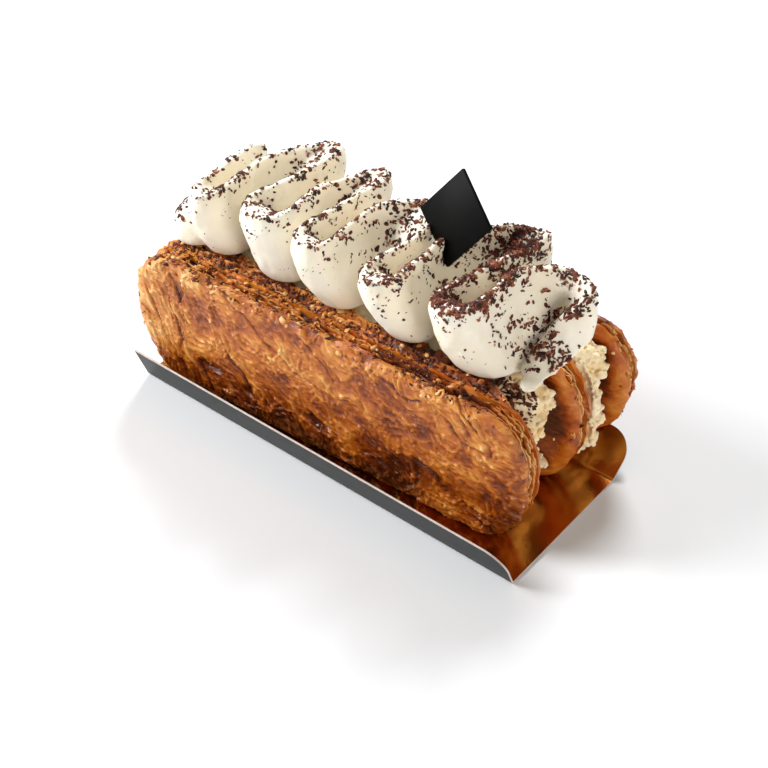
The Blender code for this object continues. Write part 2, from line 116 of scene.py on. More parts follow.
def bakedToneGroup():
    # blotches and slanting wrinkles of a baked crust, as a tone from 0 to 1 and a height
    inputs = {"Relief": 0.0, "Blotch": 70.0, "Wrinkle": 330.0}
    tree, given, out = newGroup("bakedTone", inputs, ("Tone", "Height"))
    where = addNode(tree, "TexCoord", (-1100, 0))
    slant = addNode(tree, "Mapping", (-900, 0), {
        "Rotation": (0, math.radians(38), 0), "Scale": (0.42, 1.0, 1.0)})
    blotch = addNode(tree, "TexNoise", (-680, 200), {"Detail": 4.0, "Roughness": 0.62})
    wrinkle = addNode(tree, "TexNoise", (-680, -60), {"Detail": 5.0, "Roughness": 0.62, "Distortion": 0.9})
    speck = addNode(tree, "TexVoronoi", (-680, -340), {"Scale": 520.0, "Randomness": 1.0})
    blotched = addNode(tree, "Math", (-420, 120), operation="MULTIPLY_ADD")
    wrinkled = addNode(tree, "Math", (-220, 60), operation="MULTIPLY_ADD")
    raised = addNode(tree, "Math", (-20, 0), operation="MULTIPLY_ADD")
    height = addNode(tree, "Math", (-220, -220), operation="MULTIPLY_ADD")
    link = tree.links.new
    link(where.outputs["Object"], slant.inputs["Vector"])
    link(where.outputs["Object"], blotch.inputs["Vector"])
    link(slant.outputs["Vector"], wrinkle.inputs["Vector"])
    link(slant.outputs["Vector"], speck.inputs["Vector"])
    link(given.outputs["Blotch"], blotch.inputs["Scale"])
    link(given.outputs["Wrinkle"], wrinkle.inputs["Scale"])
    # the shares of blotches, wrinkles and relief in the tone; the relief brings the painted highlights and
    # shade set on the crust and sheets
    blotched.inputs[1].default_value = 0.66
    blotched.inputs[2].default_value = -0.05
    wrinkled.inputs[1].default_value = 0.36
    raised.inputs[1].default_value = 0.30
    height.inputs[1].default_value = -0.5
    link(blotch.outputs["Fac"], blotched.inputs[0])
    link(wrinkle.outputs["Fac"], wrinkled.inputs[0])
    link(blotched.outputs[0], wrinkled.inputs[2])
    link(given.outputs["Relief"], raised.inputs[0])
    link(wrinkled.outputs[0], raised.inputs[2])
    link(speck.outputs["Distance"], height.inputs[0])
    link(wrinkle.outputs["Fac"], height.inputs[2])
    link(raised.outputs[0], out.inputs["Tone"])
    link(height.outputs[0], out.inputs["Height"])
    return tree


def creamGrainGroup():
    # the faint unevenness of whipped cream, as a shade from 0 to 1 and a height
    inputs = {"Soft": 60.0, "Fine": 700.0, "Pits": 0.4}
    tree, given, out = newGroup("creamGrain", inputs, ("Shade", "Height"))
    where = addNode(tree, "TexCoord", (-900, 0))
    soft = addNode(tree, "TexNoise", (-680, 160), {"Detail": 2.0, "Roughness": 0.5})
    fine = addNode(tree, "TexNoise", (-680, -80), {"Detail": 4.0, "Roughness": 0.6})
    pits = addNode(tree, "TexVoronoi", (-680, -320), {"Scale": 420.0, "Randomness": 1.0})
    hole = addNode(tree, "MapRange", (-440, -320), {"From Max": 0.22, "To Min": -1.0, "To Max": 0.0})
    deep = addNode(tree, "Math", (-240, -240), operation="MULTIPLY")
    height = addNode(tree, "Math", (-60, -120), operation="ADD")
    link = tree.links.new
    for made in (soft, fine, pits):
        link(where.outputs["Object"], made.inputs["Vector"])
    link(given.outputs["Soft"], soft.inputs["Scale"])
    link(given.outputs["Fine"], fine.inputs["Scale"])
    link(pits.outputs["Distance"], hole.inputs["Value"])
    link(hole.outputs["Result"], deep.inputs[0])
    link(given.outputs["Pits"], deep.inputs[1])
    link(fine.outputs["Fac"], height.inputs[0])
    link(deep.outputs[0], height.inputs[1])
    link(soft.outputs["Fac"], out.inputs["Shade"])
    link(height.outputs[0], out.inputs["Height"])
    return tree


def mottledGrainGroup():
    # soft mottling and a fine grain, each from 0 to 1, for chocolate and for paper
    inputs = {"Mottling": 60.0, "Grain": 900.0, "Coarseness": 0.5}
    tree, given, out = newGroup("mottledGrain", inputs, ("Mottling", "Grain"))
    where = addNode(tree, "TexCoord", (-900, 0))
    mottling = addNode(tree, "TexNoise", (-680, 120), {"Detail": 3.0})
    grain = addNode(tree, "TexNoise", (-680, -120), {"Detail": 4.0})
    tree.links.new(given.outputs["Coarseness"], grain.inputs["Roughness"])
    for made, socket in ((mottling, "Mottling"), (grain, "Grain")):
        tree.links.new(where.outputs["Object"], made.inputs["Vector"])
        tree.links.new(given.outputs[socket], made.inputs["Scale"])
        tree.links.new(made.outputs["Fac"], out.inputs[socket])
    return tree


bakedTone = bakedToneGroup()
creamGrain = creamGrainGroup()
mottledGrain = mottledGrainGroup()


def colorAndBump(tree, shader, look, tone, height):
    # one value picks the colour, another raises the surface
    ramp = addNode(tree, "ValToRGB", (-480, 120))
    setRamp(ramp, look["stops"])
    bump = addNode(tree, "Bump", (-240, -240), {"Strength": look["bump"], "Distance": look["bumpDepth"]})
    tree.links.new(tone, ramp.inputs["Fac"])
    tree.links.new(ramp.outputs["Color"], shader.inputs["Base Color"])
    tree.links.new(height, bump.inputs["Height"])
    tree.links.new(bump.outputs["Normal"], shader.inputs["Normal"])


def roughen(tree, shader, value, low, high):
    rough = addNode(tree, "MapRange", (-480, -120), {"To Min": low, "To Max": high})
    tree.links.new(value, rough.inputs["Value"])
    tree.links.new(rough.outputs["Result"], shader.inputs["Roughness"])


def bakedMaterial(name, look):
    material, tree, shader = newMaterial(name, **{"Specular IOR Level": look["gloss"]})
    # the relief attribute holds each piece's own tone, with the painted highlights and shade of the crust
    # and sheets
    relief = addNode(tree, "Attribute", (-900, 0), attribute_name="relief")
    baked = addNode(tree, "Group", (-700, 0), {"Blotch": look["blotch"], "Wrinkle": look["wrinkle"]},
                    node_tree=bakedTone)
    tree.links.new(relief.outputs["Fac"], baked.inputs["Relief"])
    colorAndBump(tree, shader, look, baked.outputs["Tone"], baked.outputs["Height"])
    roughen(tree, shader, baked.outputs["Tone"], *look["rough"])
    return material


crustLook = {
    "gloss": 0.60, "blotch": 95.0, "wrinkle": 640.0, "rough": (0.22, 0.42),
    "bump": 0.9, "bumpDepth": 0.0006,
    "stops": (
        (0.14, rgb(74, 27, 6)), (0.34, rgb(132, 58, 9)), (0.50, rgb(181, 96, 18)),
        (0.68, rgb(213, 140, 56)), (0.86, rgb(242, 198, 128)),
    ),
}
sheetLook = {
    "gloss": 0.5, "blotch": 110.0, "wrinkle": 500.0, "rough": (0.32, 0.5),
    "bump": 0.4, "bumpDepth": 0.0003,
    "stops": (
        (0.16, rgb(62, 23, 6)), (0.38, rgb(130, 58, 14)), (0.54, rgb(190, 103, 35)),
        (0.70, rgb(221, 146, 68)), (0.88, rgb(243, 194, 126)),
    ),
}
faceLook = {
    "gloss": 0.45, "blotch": 120.0, "wrinkle": 360.0, "rough": (0.26, 0.42),
    "bump": 0.6, "bumpDepth": 0.0005,
    "stops": (
        (0.26, rgb(72, 23, 2)), (0.44, rgb(132, 53, 3)), (0.58, rgb(180, 86, 9)), (0.85, rgb(218, 138, 50)),
    ),
}
crustMaterial = bakedMaterial("bakedCrust", crustLook)
sheetMaterial = bakedMaterial("flakySheets", sheetLook)
faceMaterial = bakedMaterial("caramelFace", faceLook)


def creamMaterial(name, look):
    material, tree, shader = newMaterial(
        name, **{"Roughness": look["rough"], "Subsurface Weight": look["glow"], "Subsurface Scale": 0.002,
                 "Subsurface Radius": (1.0, 0.72, 0.42), "Specular IOR Level": 0.4})
    grain = addNode(tree, "Group", (-700, 0), {
        "Soft": look["soft"], "Fine": look["fine"], "Pits": look["pits"]}, node_tree=creamGrain)
    colorAndBump(tree, shader, look, grain.outputs["Shade"], grain.outputs["Height"])
    return material


ribbonLook = {
    "rough": 0.42, "glow": 0.25, "soft": 55.0, "fine": 360.0, "pits": 0.35,
    "bump": 0.55, "bumpDepth": 0.0004,
    "stops": ((0.3, rgb(250, 240, 218)), (0.7, rgb(253, 247, 232))),
}
fillingLook = {
    "rough": 0.5, "glow": 0.2, "soft": 130.0, "fine": 650.0, "pits": 0.5,
    "bump": 0.5, "bumpDepth": 0.0004,
    "stops": ((0.3, rgb(252, 224, 172)), (0.7, rgb(255, 240, 208))),
}
ribbonMaterial = creamMaterial("whippedCream", ribbonLook)
fillingMaterial = creamMaterial("vanillaFilling", fillingLook)


def chocolateMaterial(name, look):
    # dark chocolate: a slight bloom over a fine grain; each shaving's relief gives it a tone of its own
    material, tree, shader = newMaterial(name, **{"Specular IOR Level": look["gloss"]})
    grain = addNode(tree, "Group", (-900, 0), {"Mottling": look["bloom"], "Grain": look["grain"]},
                    node_tree=mottledGrain)
    relief = addNode(tree, "Attribute", (-900, 240), attribute_name="relief")
    tone = addNode(tree, "Math", (-680, 240), operation="MULTIPLY_ADD")
    tone.inputs[1].default_value = look["own"]
    tree.links.new(relief.outputs["Fac"], tone.inputs[0])
    tree.links.new(grain.outputs["Mottling"], tone.inputs[2])
    colorAndBump(tree, shader, look, tone.outputs[0], grain.outputs["Grain"])
    roughen(tree, shader, grain.outputs["Mottling"], *look["rough"])
    return material


shavingMaterial = chocolateMaterial("chocolateShavings", {
    "own": 0.15, "gloss": 0.35, "bloom": 420.0, "grain": 1500.0, "rough": (0.45, 0.7),
    "bump": 0.3, "bumpDepth": 0.0002,
    "stops": ((0.34, rgb(46, 18, 9)), (0.54, rgb(104, 49, 29)), (0.76, rgb(184, 112, 80))),
})
plaqueMaterial = chocolateMaterial("plaqueChocolate", {
    "own": 0.0, "gloss": 0.04, "bloom": 60.0, "grain": 900.0, "rough": (0.30, 0.42),
    "bump": 0.06, "bumpDepth": 0.0002,
    "stops": ((0.3, rgb(8, 8, 8)), (0.7, rgb(16, 17, 17))),
})


def foilMaterial():
    # gold foil on card: fine creases and a few soft dents
    look = {"stops": ((0.3, rgb(160, 96, 33)), (0.7, rgb(212, 150, 74))), "bump": 0.35, "bumpDepth": 0.0008}
    material, tree, shader = newMaterial("goldFoil", **{"Metallic": 1.0})
    where = addNode(tree, "TexCoord", (-900, 0))
    dents = addNode(tree, "TexNoise", (-700, 100), {"Scale": 45.0, "Detail": 2.0, "Roughness": 0.5})
    creases = addNode(tree, "TexNoise", (-700, -160), {"Scale": 260.0, "Detail": 5.0, "Roughness": 0.7})
    height = addNode(tree, "Math", (-480, -320), operation="MULTIPLY_ADD")
    height.inputs[1].default_value = 0.25
    for made in (dents, creases):
        tree.links.new(where.outputs["Object"], made.inputs["Vector"])
    tree.links.new(creases.outputs["Fac"], height.inputs[0])
    tree.links.new(dents.outputs["Fac"], height.inputs[2])
    colorAndBump(tree, shader, look, dents.outputs["Fac"], height.outputs[0])
    roughen(tree, shader, creases.outputs["Fac"], 0.10, 0.28)
    return material


def paperMaterial(name, look):
    material, tree, shader = newMaterial(name, **{"Specular IOR Level": look["gloss"]})
    grain = addNode(tree, "Group", (-700, 0), {"Grain": look["fibre"], "Coarseness": 0.6},
                    node_tree=mottledGrain)
    colorAndBump(tree, shader, look, grain.outputs["Grain"], grain.outputs["Grain"])
    roughen(tree, shader, grain.outputs["Grain"], *look["rough"])
    return material


goldFoil = foilMaterial()
greyCoat = paperMaterial("greyCoat", {
    "gloss": 0.2, "fibre": 300.0, "rough": (0.40, 0.53), "bump": 0.15, "bumpDepth": 0.0001,
    "stops": ((0.35, rgb(25, 27, 27)), (0.65, rgb(38, 40, 40))),
})
cutEdge = paperMaterial("cutCardEdge", {
    "gloss": 0.2, "fibre": 900.0, "rough": (0.55, 0.68), "bump": 0.15, "bumpDepth": 0.0001,
    "stops": ((0.35, rgb(196, 184, 178)), (0.65, rgb(220, 208, 202))),
})
print("materials are made")


# making pieces

def toPiece(bm, name, materials, nodes=(), sharp=None):
    mesh = bpy.data.meshes.new(name)
    bm.to_mesh(mesh)
    bm.free()
    mesh.shade_smooth()
    if sharp:
        mesh.set_sharp_from_angle(angle=math.radians(sharp))
    for material in materials:
        mesh.materials.append(material)
    piece = bpy.data.objects.new(name, mesh)
    bpy.context.scene.collection.objects.link(piece)
    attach(piece, "root")
    if nodes:
        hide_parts(*nodes)
    return piece


def keepModifiers(piece):
    depsgraph = bpy.context.evaluated_depsgraph_get()
    mesh = bpy.data.meshes.new_from_object(piece.evaluated_get(depsgraph))
    piece.modifiers.clear()
    old, piece.data = piece.data, mesh
    bpy.data.meshes.remove(old)


def softCopy(node, name, voxel, rounds):
    # a finer, smoother copy of a solid, to shape further
    bm = bmesh.new()
    bm.from_mesh(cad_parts[node].data)
    bmesh.ops.remove_doubles(bm, verts=bm.verts, dist=0.00001)
    mesh = bpy.data.meshes.new(name)
    bm.to_mesh(mesh)
    bm.free()
    piece = bpy.data.objects.new(name, mesh)
    bpy.context.scene.collection.objects.link(piece)
    fine = piece.modifiers.new("fine", "REMESH")
    fine.mode = "VOXEL"
    fine.voxel_size = voxel
    soften = piece.modifiers.new("soften", "SMOOTH")
    soften.iterations = rounds
    keepModifiers(piece)
    bm = bmesh.new()
    bm.from_mesh(piece.data)
    bpy.data.objects.remove(piece, do_unlink=True)
    bm.normal_update()
    return bm


# the card

def makeCard():
    bm = bmesh.new()
    bmesh.ops.create_grid(bm, x_segments=1, y_segments=1, size=0.5)
    bmesh.ops.scale(bm, vec=(card["length"], card["width"], 1), verts=bm.verts)
    for side, lean in ((-1, card["frontLean"]), (1, card["backLean"])):
        lean = math.radians(lean)
        border = side * card["width"] / 2
        fold = [e for e in bm.edges if all(abs(v.co.y - border) < 0.0003 for v in e.verts)]
        grown = bmesh.ops.extrude_edge_only(bm, edges=fold)["geom"]
        rim = [v for v in grown if isinstance(v, bmesh.types.BMVert)]
        rise = Vector((0, side * math.sin(lean), math.cos(lean))) * card["flap"]
        bmesh.ops.translate(bm, vec=rise, verts=rim)
        corner = [v for v in rim if v.co.x > 0]
        bmesh.ops.bevel(bm, geom=corner, offset=card["corner"], segments=10, profile=0.5, affect="VERTICES",
                        material=-1)
    folds = [e for e in bm.edges if len(e.link_faces) == 2]
    bmesh.ops.bevel(bm, geom=folds, offset=card["foldRadius"], offset_type="OFFSET", segments=4,
                    profile=0.5, affect="EDGES", material=-1)
    bmesh.ops.recalc_face_normals(bm, faces=bm.faces)
    if sum(f.normal.z * f.calc_area() for f in bm.faces) < 0:
        bmesh.ops.reverse_faces(bm, faces=bm.faces)
    firstVerts = set(bm.verts)
    # the faces so far are the card's underside, so its thickness goes up and inwards
    bmesh.ops.solidify(bm, geom=bm.faces[:], thickness=-card["thickness"])
    bmesh.ops.recalc_face_normals(bm, faces=bm.faces)
    bm.normal_update()
    # gold inside, grey outside, and the bare card where it is cut
    for f in bm.faces:
        old = sum(v in firstVerts for v in f.verts)
        f.material_index = 2 if 0 < old < len(f.verts) else (1 if f.normal.z < 0 else 0)
    return toPiece(bm, "cardTray", (goldFoil, greyCoat, cutEdge), ("card_tray",), sharp=30)


makeCard()
print("card is made")


# the slabs of puff pastry

# how long and how high each rounded corner of a slab's broad face is
slabEnds = {
    "lowRight": (0.0160, 0.0250), "highRight": (0.0144, 0.0190),
    "lowLeft": (0.0190, 0.0270), "highLeft": (0.0150, 0.0180),
}
slabs = {
    "pastryFront": {
        "node": "pastry_front", "front": 0.0, "back": 0.0110, "left": -0.0704, "right": 0.0704,
        "sheets": 17, "seed": 1.7, "fineFace": "front", "fan": 0.0072, "outerTone": 0.0,
    },
    "pastryMiddle": {
        "node": "pastry_middle", "front": 0.0283, "back": 0.0385, "left": -0.0700, "right": 0.0700,
        "sheets": 9, "seed": 4.1, "fineFace": "", "fan": 0.0, "outerTone": 0.7,
    },
    "pastryBack": {
        "node": "pastry_back", "front": 0.0488, "back": 0.0570, "left": -0.0690, "right": 0.0742,
        "sheets": 7, "seed": 8.3, "fineFace": "back", "fan": 0.0, "outerTone": 0.7,
    },
}
sheet = {
    "thickness": 0.00034, "points": 460, "band": 0.0040, "ragged": 0.0014, "broken": 0.0019,
    "wave": 0.00060, "behindFront": 0.0019, "beforeBack": 0.0017, "stepBack": 0.0006, "gap": 0.0011,
}
crust = {
    "columns": 390, "rows": 142, "innerShare": 0.40, "inset": 0.0006, "depth": 0.0009, "lowest": -0.0009,
    "swell": 0.00050, "flakeLong": 0.0085, "flakeWide": 0.0052, "step": 0.00060, "curl": 0.00034,
    "crest": 0.00040, "crack": 0.00060, "blister": 0.00032, "fine": 0.00028, "roll": 0.0016,
    "rollWidth": 0.0042, "slant": 38.0, "tatter": 0.0009,
}


def footHeight(s, t):
    # the pastry stands on the card's base, or where it comes to the back flap, on that
    lean = math.radians(card["backLean"])
    y = place(s, t, 0).y
    onFlap = card["thickness"] * math.sin(lean) + card["gapOnFlap"]
    onFlap += (y - card["width"] / 2 + card["thickness"] * math.cos(lean)) / math.tan(lean)
    pastRim = card["flap"] * math.cos(lean) + card["thickness"] + card["gapOnRim"]
    return max(pastry["foot"], min(onFlap, pastRim))


def lift(s, t, z):
    foot = footHeight(s, t)
    return foot + (z - pastry["foot"]) * (pastry["top"] - foot) / (pastry["top"] - pastry["foot"])


def slabOutline(left, right, count):
    # evenly spaced points round a slab's broad face, anticlockwise from its foot, with outward normals
    corners = (
        (right, pastry["foot"], slabEnds["lowRight"], 1, -1, -90),
        (right, pastry["top"], slabEnds["highRight"], 1, 1, 0),
        (left, pastry["top"], slabEnds["highLeft"], -1, 1, 90),
        (left, pastry["foot"], slabEnds["lowLeft"], -1, -1, 180),
    )
    path = []
    for sEnd, zEnd, (long, high), side, above, start in corners:
        for step in range(31):
            a = math.radians(start + 3 * step)
            path.append((sEnd - side * long + long * math.cos(a), zEnd - above * high + high * math.sin(a)))
    path.append(path[0])
    spans = [math.dist(a, b) for a, b in zip(path, path[1:])]
    total, walked, i, points = sum(spans), 0.0, 0, []
    for step in range(count):
        goal = total * step / count
        while walked + spans[i] < goal:
            walked += spans[i]
            i += 1
        u = (goal - walked) / spans[i] if spans[i] else 0.0
        (s0, z0), (s1, z1) = path[i], path[i + 1]
        along = Vector((s1 - s0, z1 - z0)).normalized() if spans[i] else Vector((1, 0))
        points.append((s0 + (s1 - s0) * u, z0 + (z1 - z0) * u, along.y, -along.x))
    return points


def endAt(z, name, end, side):
    # where a slab's end is, at one height
    low, high = slabEnds["low" + name], slabEnds["high" + name]
    if z < pastry["foot"] + low[1]:
        (long, tall), off = low, (pastry["foot"] + low[1] - z)
    elif z > pastry["top"] - high[1]:
        (long, tall), off = high, (z - pastry["top"] + high[1])
    else:
        return end
    return end - side * long * (1 - math.sqrt(max(0.0, 1 - (off / tall) ** 2)))


def crustRelief(s, z, seed):
    # swells, broken flakes, thin crests that run slantwise, blisters and fine grain: height, and a tone
    # with painted highlight on the raised parts and painted shade in the cracks
    a = math.radians(crust["slant"] + 14 * ease(-s, 0.045, 0.068))
    run = s * math.cos(a) - z * math.sin(a) + bumps(s, z, seed, 0.011, seed) * 0.0042
    cross = s * math.sin(a) + z * math.cos(a) + bumps(s, z, seed, 0.008, seed + 2) * 0.0030
    swell = bumps(s * 0.8, z * 1.3, 0, 0.016, seed) + 0.5 * bumps(s, z, 0, 0.007, seed + 1)
    flake = Vector((run / crust["flakeLong"] + seed, cross / crust["flakeWide"], seed))
    distances, middles = noise.voronoi(flake)
    rim = math.exp(-((distances[1] - distances[0]) / 0.10) ** 2)
    stands = ease(bumps(run, cross, 0, 0.008, seed + 9), -0.15, 0.3)
    step = noise.noise(middles[0] * 3.7)
    crestA = max(0.0, 1 - 9 * abs(bumps(run * 0.45, cross, 0, 0.0052, seed + 5)))
    crestB = max(0.0, 1 - 7 * abs(bumps(run * 0.55, cross, 0, 0.0026, seed + 15)))
    crack = max(0.0, 1 - 16 * abs(bumps(run * 0.28, cross, 0, 0.0105, seed + 25)))
    crack *= ease(bumps(run, cross, 0, 0.011, seed + 31), 0.0, 0.25)
    bubble, spots = noise.voronoi(Vector((s / 0.0017, z / 0.0017, seed)))
    blister = max(0.0, 1 - (bubble[0] / 0.42) ** 2) * (noise.noise(spots[0] * 2.3) > 0.12)
    fine = bumps(run * 0.6, cross, 0, 0.0010, seed + 13)
    height = swell * crust["swell"] + stands * (step * crust["step"] + rim * crust["curl"])
    height += (crestA + 0.5 * crestB) * crust["crest"] + fine * crust["fine"]
    height += blister * crust["blister"] - crack * crust["crack"]
    # painted highlight on swells, flakes, crests and blisters; painted shade in the cracks
    light = 0.75 * swell + stands * (0.5 * step + 0.5 * rim) + 0.35 * crestA + 0.3 * crestB + 0.6 * blister
    return height, light + 0.4 * fine - 1.1 * crack


def joinInto(bm, fresh):
    mesh = bpy.data.meshes.new("fresh")
    fresh.to_mesh(mesh)
    fresh.free()
    bm.from_mesh(mesh)
    bpy.data.meshes.remove(mesh)


def addCrust(bm, look, isFront, isFine, material):
    # one broad face of a slab: a blistered skin that rolls back at its border
    fresh = bmesh.new()
    tone = fresh.verts.layers.float.new("relief")
    share = 1.0 if isFine else crust["innerShare"]
    columns, rows = round(crust["columns"] * share), round(crust["rows"] * share)
    bmesh.ops.create_grid(fresh, x_segments=columns, y_segments=rows, size=0.5)
    out = -1 if isFront else 1
    flat = (look["front"] if isFront else look["back"]) - out * crust["inset"]
    rim = [e for e in fresh.edges if e.is_boundary]
    for v in fresh.verts:
        u, w = v.co.x + 0.5, v.co.y + 0.5
        z = pastry["foot"] + (pastry["top"] - pastry["foot"]) * w
        low, high = endAt(z, "Left", look["left"], -1), endAt(z, "Right", look["right"], 1)
        s = low + (high - low) * u
        edge = min(z - pastry["foot"], pastry["top"] - z, s - low, high - s)
        roll = crust["roll"] * (1 - min(edge / crust["rollWidth"], 1)) ** 2
        height, light = crustRelief(s, z, look["seed"] + (0 if isFront else 20))
        height = max(height, crust["lowest"])
        if not isFine:
            height, light = height * 0.5, light * 0.6
        tatter = crust["tatter"] * bumps(s, z, 0, 0.004, look["seed"] + 3) * (1 - min(edge / 0.003, 1))
        ends = s + (tatter if s > 0 else -tatter)
        v.co = place(ends, flat + out * (height - roll), lift(s, flat, z + tatter))
        # darker towards the foot, partly a deeper bake and partly painted shade; lighter towards the left
        # end, painted light
        bakeAndShadeBelow = 1 - ease(z + 0.005 * bumps(s, z, 0, 0.008, 4.4), 0.003, 0.021)
        v[tone] = light + 0.8 * (1 - ease(s, -0.066, -0.034)) - bakeAndShadeBelow * (1.05 - 0.85 * ease(s, 0.018, 0.054))
        if not isFine:
            # paler towards the rim of the faces that touch the filling
            v[tone] += 0.7 - 1.25 * ease(edge + 0.0022 * bumps(s, z, 0, 0.005, 6.6), 0.0005, 0.0085)
    grown = bmesh.ops.extrude_edge_only(fresh, edges=rim)["geom"]
    back = [v for v in grown if isinstance(v, bmesh.types.BMVert)]
    bmesh.ops.translate(fresh, vec=place(0, -out * crust["depth"], 0) - place(0, 0, 0), verts=back)
    loop = [e for e in grown if isinstance(e, bmesh.types.BMEdge) and e.is_boundary]
    bmesh.ops.triangulate(fresh, faces=bmesh.ops.holes_fill(fresh, edges=loop)["faces"])
    bmesh.ops.recalc_face_normals(fresh, faces=fresh.faces)
    for f in fresh.faces:
        f.material_index = material
    joinInto(bm, fresh)


def addSheet(bm, look, outline, number, draw):
    # one thin baked sheet with a ragged, wavy rim, whose broken bits stand back from the slab's edge
    fresh = bmesh.new()
    tone = fresh.verts.layers.float.new("relief")
    bmesh.ops.create_circle(fresh, cap_ends=True, segments=len(outline), radius=1)
    rim = list(fresh.verts)
    first = look["front"] + sheet["behindFront"]
    last = look["back"] - sheet["beforeBack"] - sheet["thickness"]
    share = number / (look["sheets"] - 1)
    t = first + (last - first) * share
    for v, (s, z, ns, nz) in zip(rim, outline):
        v.co = (s, t, z)
    fresh.normal_update()
    bmesh.ops.inset_individual(fresh, faces=fresh.faces[:], thickness=sheet["band"], use_even_offset=True)
    onRim = set(rim)
    inner = [v for v in fresh.verts if v not in onRim]
    # every fourth sheet stands well back, which leaves a gap, darkened further by painted shade
    own = draw.uniform(0.0, sheet["stepBack"]) + (sheet["gap"] if number % 4 == 2 else 0.0)
    # the inner part of each sheet is painted very dark: painted shade between the sheets
    for v in inner:
        v[tone] = -1.6
    for v, (s, z, ns, nz) in zip(rim, outline):
        rough = bumps(s, t * 3, z, 0.0042, look["seed"] + number * 0.37)
        rough += 0.7 * bumps(s, 0, z, 0.0014, number * 2.3)
        torn = ease(bumps(s, t * 1.5, z, 0.0055, look["seed"] + 30 + number * 0.7), 0.08, 0.20)
        back = own + sheet["ragged"] * (0.45 + 0.55 * rough) + sheet["broken"] * torn
        wave = 0.7 * bumps(s, t, z, 0.010, look["seed"] + 40)
        wave += 0.7 * bumps(s, t, z, 0.0030, look["seed"] + number)
        fan = look["fan"] * share ** 2 * ease(z, 0.036, 0.049) * (1 - ease(s, 0.045, 0.063))
        v.co = (s - ns * back, t + sheet["wave"] * wave + fan, z - nz * back + fan * 0.04)
        # sheets that stand back and torn parts are painted darker: painted shade in the recesses
        v[tone] = 0.75 - 1.1 * torn - 260 * own + 0.7 * rough + 0.5 * ease(abs(s), 0.050, 0.062)
        v[tone] += look["outerTone"] * ease(share, 0.4, 0.7)
        if look["fan"]:
            v[tone] -= 0.9 * ease(s, 0.000, 0.030) * (1 - ease(s, 0.057, 0.064)) * ease(z, 0.028, 0.040)
    plate = bmesh.ops.extrude_face_region(fresh, geom=fresh.faces[:])["geom"]
    moved = [v for v in plate if isinstance(v, bmesh.types.BMVert)]
    bmesh.ops.translate(fresh, vec=(0, sheet["thickness"], 0), verts=moved)
    bmesh.ops.recalc_face_normals(fresh, faces=fresh.faces)
    for v in fresh.verts:
        s, across, z = v.co
        v.co = place(s, across, lift(s, across, z))
    for f in fresh.faces:
        f.material_index = 1
    joinInto(bm, fresh)


def makeSlab(name, look):
    draw = random.Random(name)
    bm = bmesh.new()
    bm.verts.layers.float.new("relief")
    outline = slabOutline(look["left"], look["right"], sheet["points"])
    for isFront in (True, False):
        isFine = look["fineFace"] == ("front" if isFront else "back")
        addCrust(bm, look, isFront, isFine, 0 if isFine else 2)
    for number in range(look["sheets"]):
        addSheet(bm, look, outline, number, draw)
    materials = (crustMaterial, sheetMaterial, faceMaterial)
    piece = toPiece(bm, name, materials, (look["node"],), sharp=50)
    print(name, "is made,", len(piece.data.polygons), "faces")
    return piece


slabPieces = [makeSlab(name, look) for name, look in slabs.items()]


# the vanilla fillings

fillings = {
    "fillingFront": {
        "node": "filling_front", "left": -0.0655, "right": 0.0660, "seed": 2.9, "caveFrom": 0.0175,
        "cave": 0.0075, "under": 0.0010, "sink": 0.0030, "grow": 0.0008,
    },
    "fillingBack": {
        "node": "filling_back", "left": -0.0660, "right": 0.0685, "seed": 6.2, "caveFrom": 0.0432,
        "cave": 0.0080, "under": 0.0, "sink": 0.0, "grow": 0.0036,
    },
}
crumbly = {
    "voxel": 0.00058, "soften": 2, "lump": 0.0028, "crumb": 0.0011, "grain": 0.00040,
    "clear": 0.0001, "loose": 330, "kinds": 5, "size": (0.0006, 0.0019),
}


def makeFilling(name, look):
    # smooth between the slabs and torn into crumbs at its two ends
    bm = softCopy(look["node"], name, crumbly["voxel"], crumbly["soften"])
    for v in bm.verts:
        s, t, z = unplace(v.co)
        free = max(
            ease(s, look["right"] - 0.017, look["right"] - 0.008),
            ease(-s, -look["left"] - 0.017, -look["left"] - 0.008), 0.35 * ease(z, 0.044, 0.047))
        lump = bumps(s, t, z, 0.0046, look["seed"]) * crumbly["lump"]
        crumb = (abs(bumps(s, t, z, 0.0026, look["seed"] + 3)) * 2 - 0.7) * crumbly["crumb"]
        grain = bumps(s, t, z, 0.0009, look["seed"] + 6) * crumbly["grain"]
        v.co += v.normal * free * (lump + crumb + grain)
        # a torn hollow half way up the open end
        atEnd = ease(s, 0.042, look["right"] - 0.006)
        halfWay = ease(z, 0.011, 0.016) * (1 - ease(z, 0.032, 0.036))
        edge = look["caveFrom"] + bumps(s, t, z, 0.0060, look["seed"] + 12) * 0.0022
        inCave = ease(t, edge, edge + 0.0025)
        deep = inCave * (look["cave"] * halfWay + look["under"] * (1 - ease(z, 0.006, 0.009)))
        v.co.x += atEnd * (look["grow"] * (1 - inCave * halfWay) - deep)
        # room on top and at the end for the sheets that lean over from the front slab
        v.co.z -= look["sink"] * (1 - ease(t, 0.0165, 0.0205)) * ease(z, 0.0420, 0.0470)
        besideSheets = (1 - ease(t, 0.0140, 0.0180)) * ease(z, 0.030, 0.040) * ease(s, 0.045, 0.055)
        v.co.x -= 1.6 * look["sink"] * besideSheets
        v.co.z = max(v.co.z, footHeight(s, t) + crumbly["clear"])
    piece = toPiece(bm, name, (fillingMaterial,), (look["node"],))
    print(name, "is made,", len(piece.data.polygons), "faces")
    return piece


fillingPieces = [makeFilling(name, look) for name, look in fillings.items()]


# the ribbon of cream

ribbon = {
    "voxel": 0.00056, "soften": 9, "sway": 0.00055, "ripple": 0.00040,
    "foldDepth": 0.0034, "foldWidth": 0.0017, "foldInto": (-0.35, 0.50, -0.79),
}
